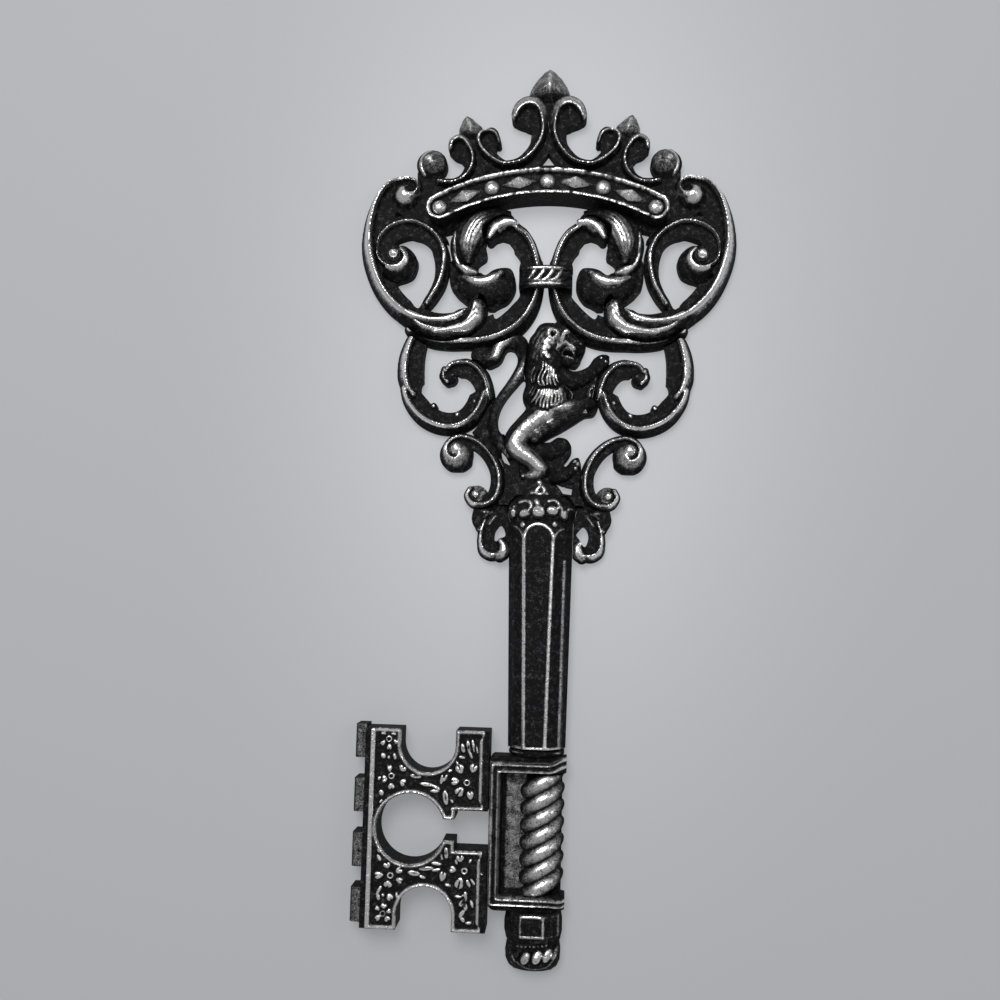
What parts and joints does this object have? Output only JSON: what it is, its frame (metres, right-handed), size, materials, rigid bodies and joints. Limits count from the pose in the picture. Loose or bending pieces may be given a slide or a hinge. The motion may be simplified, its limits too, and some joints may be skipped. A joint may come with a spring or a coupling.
{
  "type": "decorative skeleton key",
  "caption": "Ornamental cast-metal wall key with a pierced, crowned lion bow, a tapering faceted shank, a framed rope-twist sleeve and a pierced bit with teeth on its outer edge.",
  "frame": {"origin": "middle of the footprint on the flat back", "axes": "+X across the bow, away from the bit; +Y along the key towards the crown; +Z from the flat back to the front"},
  "size_m": [0.153, 0.3576, 0.015],
  "materials": {
    "rubbed_silver": "rubbed bright, broken by dark pits",
    "black_patina": "black patina, satin",
    "half_worn": "grey patina, half worn"
  },
  "bodies": {
    "root": {"crown_band": "rubbed_silver", "band_bead_1": "rubbed_silver", "band_bead_2": "rubbed_silver", "band_bead_3": "rubbed_silver", "band_bead_4": "rubbed_silver", "band_bead_5": "rubbed_silver", "band_lozenge_1": "rubbed_silver", "band_lozenge_2": "rubbed_silver", "band_lozenge_3": "rubbed_silver", "band_lozenge_4": "rubbed_silver", "collar": "rubbed_silver", "volute_scroll_left": "black_patina", "volute_scroll_right": "black_patina", "outer_scroll_left": "rubbed_silver", "outer_scroll_right": "rubbed_silver", "inner_scroll_left": "black_patina", "inner_scroll_right": "black_patina", "acanthus_upper_left": "half_worn", "acanthus_upper_right": "half_worn", "acanthus_lower_left": "half_worn", "acanthus_lower_right": "half_worn", "lower_scroll_left": "black_patina", "lower_scroll_right": "black_patina", "lion": "rubbed_silver", "lion_tail": "black_patina", "side_scroll_left": "half_worn", "side_scroll_right": "half_worn", "capital": "half_worn", "shank": "black_patina", "foot_scroll_left": "black_patina", "foot_scroll_right": "black_patina", "pedestal": "black_patina", "crown_inner_scroll_left": "half_worn", "crown_inner_scroll_right": "half_worn", "crown_ball_left": "half_worn", "crown_ball_right": "half_worn", "crown_outer_scroll_left": "half_worn", "crown_outer_scroll_right": "half_worn", "crown_side_bud_left": "rubbed_silver", "crown_side_bud_right": "rubbed_silver", "crown_finial": "rubbed_silver", "crown_web": "black_patina", "neck_ring": "rubbed_silver", "sleeve": "rubbed_silver", "rope_core": "rubbed_silver", "ferrule": "half_worn", "tip_bulb": "half_worn", "bit_plate": "black_patina", "bit_tooth_1": "half_worn", "bit_tooth_2": "half_worn", "bit_tooth_3": "half_worn", "bit_tooth_4": "half_worn"}
  },
  "joints": []
}
